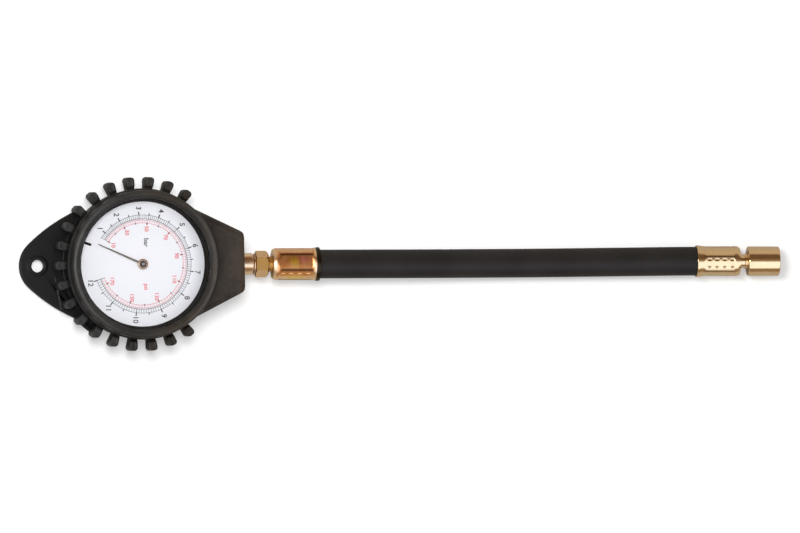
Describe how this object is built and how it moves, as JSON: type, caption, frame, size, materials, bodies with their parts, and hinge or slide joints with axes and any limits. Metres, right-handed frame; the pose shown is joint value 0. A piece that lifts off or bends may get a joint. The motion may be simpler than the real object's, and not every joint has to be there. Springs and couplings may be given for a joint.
{
  "type": "tire pressure gauge",
  "caption": "Dial pressure gauge in a ribbed rubber boot with a hang tab, a geared Bourdon movement, a short hose with crimped ferrules and a push-on valve chuck.",
  "frame": {"origin": "on the dial's axis, at the flat back of the rubber boot", "axes": "+X along the hose towards the chuck, +Z out of the dial, towards the reader"},
  "size_m": [0.4295, 0.0974, 0.0345],
  "materials": {
    "boot_rubber": "satin moulded rubber, lightly dusty on raised edges",
    "case_black": "black enamel",
    "bezel_black": "satin black",
    "window_clear": "clear polished",
    "dial_white": "white enamel with printed scales",
    "pointer_brown": "dark lacquer",
    "movement_brass": "stamped and brushed",
    "tube_bronze": "drawn bronze",
    "steel": "turned",
    "brass": "turned, bright",
    "passivated": "yellow passivated, iridescent",
    "seal_rubber": "matte",
    "hose_rubber": "smooth satin",
    "seal_copper": "soft copper"
  },
  "bodies": {
    "root": {"rubber_boot": "boot_rubber", "case_cup": "case_black", "case_screw_1": "steel", "case_screw_2": "steel", "bezel_ring": "bezel_black", "window": "window_clear", "spacer_ring": "bezel_black", "dial_plate": "dial_white", "socket_block": "brass", "bourdon_tube": "tube_bronze", "bottom_plate": "movement_brass", "top_plate": "movement_brass", "pillar_1": "movement_brass", "pillar_2": "movement_brass", "pillar_3": "movement_brass", "plate_screw_1": "steel", "plate_screw_2": "steel", "plate_screw_3": "steel", "block_screw_1": "steel", "block_screw_2": "steel", "hairspring": "steel", "hairspring_stud": "steel", "seal_washer": "seal_copper", "hose_coupling": "brass", "near_ferrule": "passivated", "hose": "hose_rubber", "far_ferrule": "brass", "hose_tail": "brass"},
    "sector": {"sector_gear": "movement_brass"},
    "pointer": {"pointer": "pointer_brown", "pointer_staff": "steel"},
    "tip": {"tube_tip": "movement_brass"},
    "link": {"link": "movement_brass"},
    "chuck": {"chuck_body": "brass", "chuck_pin": "brass", "chuck_seal": "seal_rubber", "chuck_retainer": "brass"}
  },
  "joints": [
    {"name": "sector_swing", "type": "hinge", "parent": "root", "child": "sector", "pos_m": [0.00498, 0.01859, 0.0127], "axis": [0, 0, 1], "range_deg": [0, 31.66]},
    {"name": "pointer_spin", "type": "hinge", "parent": "root", "child": "pointer", "pos_m": [0, 0, 0.0127], "axis": [0, 0, 1], "range_deg": [-317.5, 0], "deforming": ["hairspring"]},
    {"name": "tip_travel", "type": "slide", "parent": "root", "child": "tip", "axis": [-1, 0, 0], "range_m": [0, 0.0034], "deforming": ["bourdon_tube"]},
    {"name": "link_swing", "type": "hinge", "parent": "tip", "child": "link", "pos_m": [-0.01462, 0.02291, 0.01385], "axis": [0, 0, 1], "range_deg": [-2.2, 0]},
    {"name": "chuck_swivel", "type": "hinge", "parent": "root", "child": "chuck", "pos_m": [0.3537, 0.0016, 0.00895], "axis": [1, 0, 0], "continuous": true}
  ],
  "couplings": [
    {"joint": "pointer_spin", "follows": "sector_swing", "ratio": -10},
    {"joint": "tip_travel", "follows": "sector_swing", "m_per_rad": 0.0058899},
    {"joint": "link_swing", "follows": "sector_swing", "ratio": -0.065147}
  ]
}
